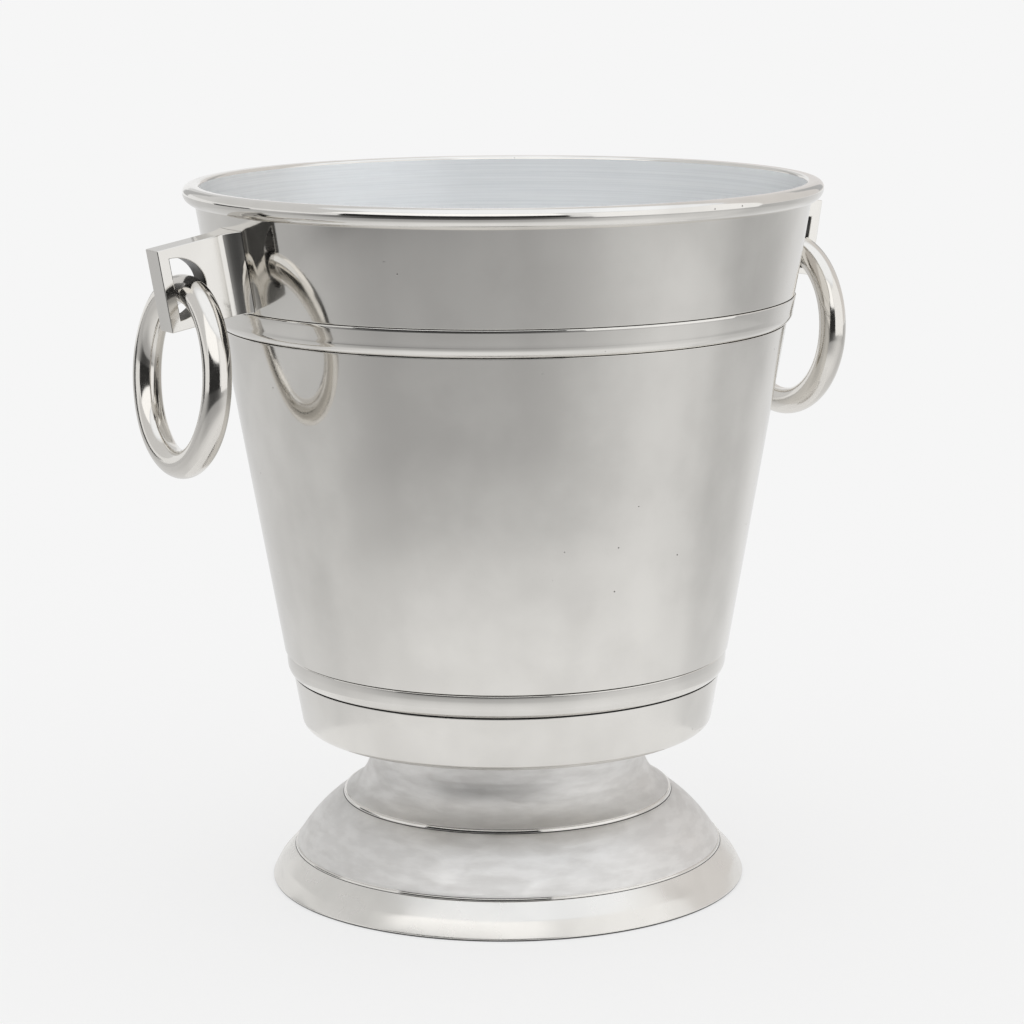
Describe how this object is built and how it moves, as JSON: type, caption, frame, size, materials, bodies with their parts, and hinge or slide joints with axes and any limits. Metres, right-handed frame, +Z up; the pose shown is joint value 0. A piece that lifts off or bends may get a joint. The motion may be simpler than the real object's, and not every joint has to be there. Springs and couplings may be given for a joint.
{
  "type": "champagne bucket",
  "caption": "Footed champagne bucket in polished silver-coloured metal: tapered bowl with a bead rim and two bands, on a pedestal foot, with a loose ring handle on each side.",
  "frame": {"origin": "centre of the foot's base, on the surface it stands on", "axes": "+Z up; the two handle lugs stand along X, the right one on +X and the left one on -X; +Y is the back"},
  "size_m": [0.2918, 0.24, 0.2688],
  "materials": {
    "cast_nickel": "cast aluminium plated with nickel and polished outside, brushed round the inside",
    "ring_nickel": "nickel-plated round bar, polished bright",
    "fastener_steel": "turned stainless steel, satin",
    "seal_rubber": "matt black rubber"
  },
  "bodies": {
    "bucket": {"bowl": "cast_nickel", "upper_band": "cast_nickel", "lower_band": "cast_nickel", "foot": "cast_nickel", "foot_bolt": "fastener_steel", "foot_bolt_washer": "fastener_steel", "foot_bolt_gasket": "seal_rubber", "foot_nut_washer": "fastener_steel", "foot_nut": "fastener_steel", "left_lug": "cast_nickel", "left_lug_screw_upper": "fastener_steel", "left_lug_screw_lower": "fastener_steel", "left_lug_washer_upper": "fastener_steel", "left_lug_washer_lower": "fastener_steel", "right_lug": "cast_nickel", "right_lug_screw_upper": "fastener_steel", "right_lug_screw_lower": "fastener_steel", "right_lug_washer_upper": "fastener_steel", "right_lug_washer_lower": "fastener_steel"},
    "left_handle": {"left_ring": "ring_nickel"},
    "right_handle": {"right_ring": "ring_nickel"}
  },
  "joints": [
    {"name": "left_ring_swing", "type": "hinge", "parent": "bucket", "child": "left_handle", "pos_m": [-0.13287, 0, 0.23648], "axis": [0.0436, 0.999, 0], "range_deg": [-28, 193]},
    {"name": "right_ring_swing", "type": "hinge", "parent": "bucket", "child": "right_handle", "pos_m": [0.13287, 0, 0.23648], "axis": [0, -1, 0], "range_deg": [-21, 199]}
  ]
}
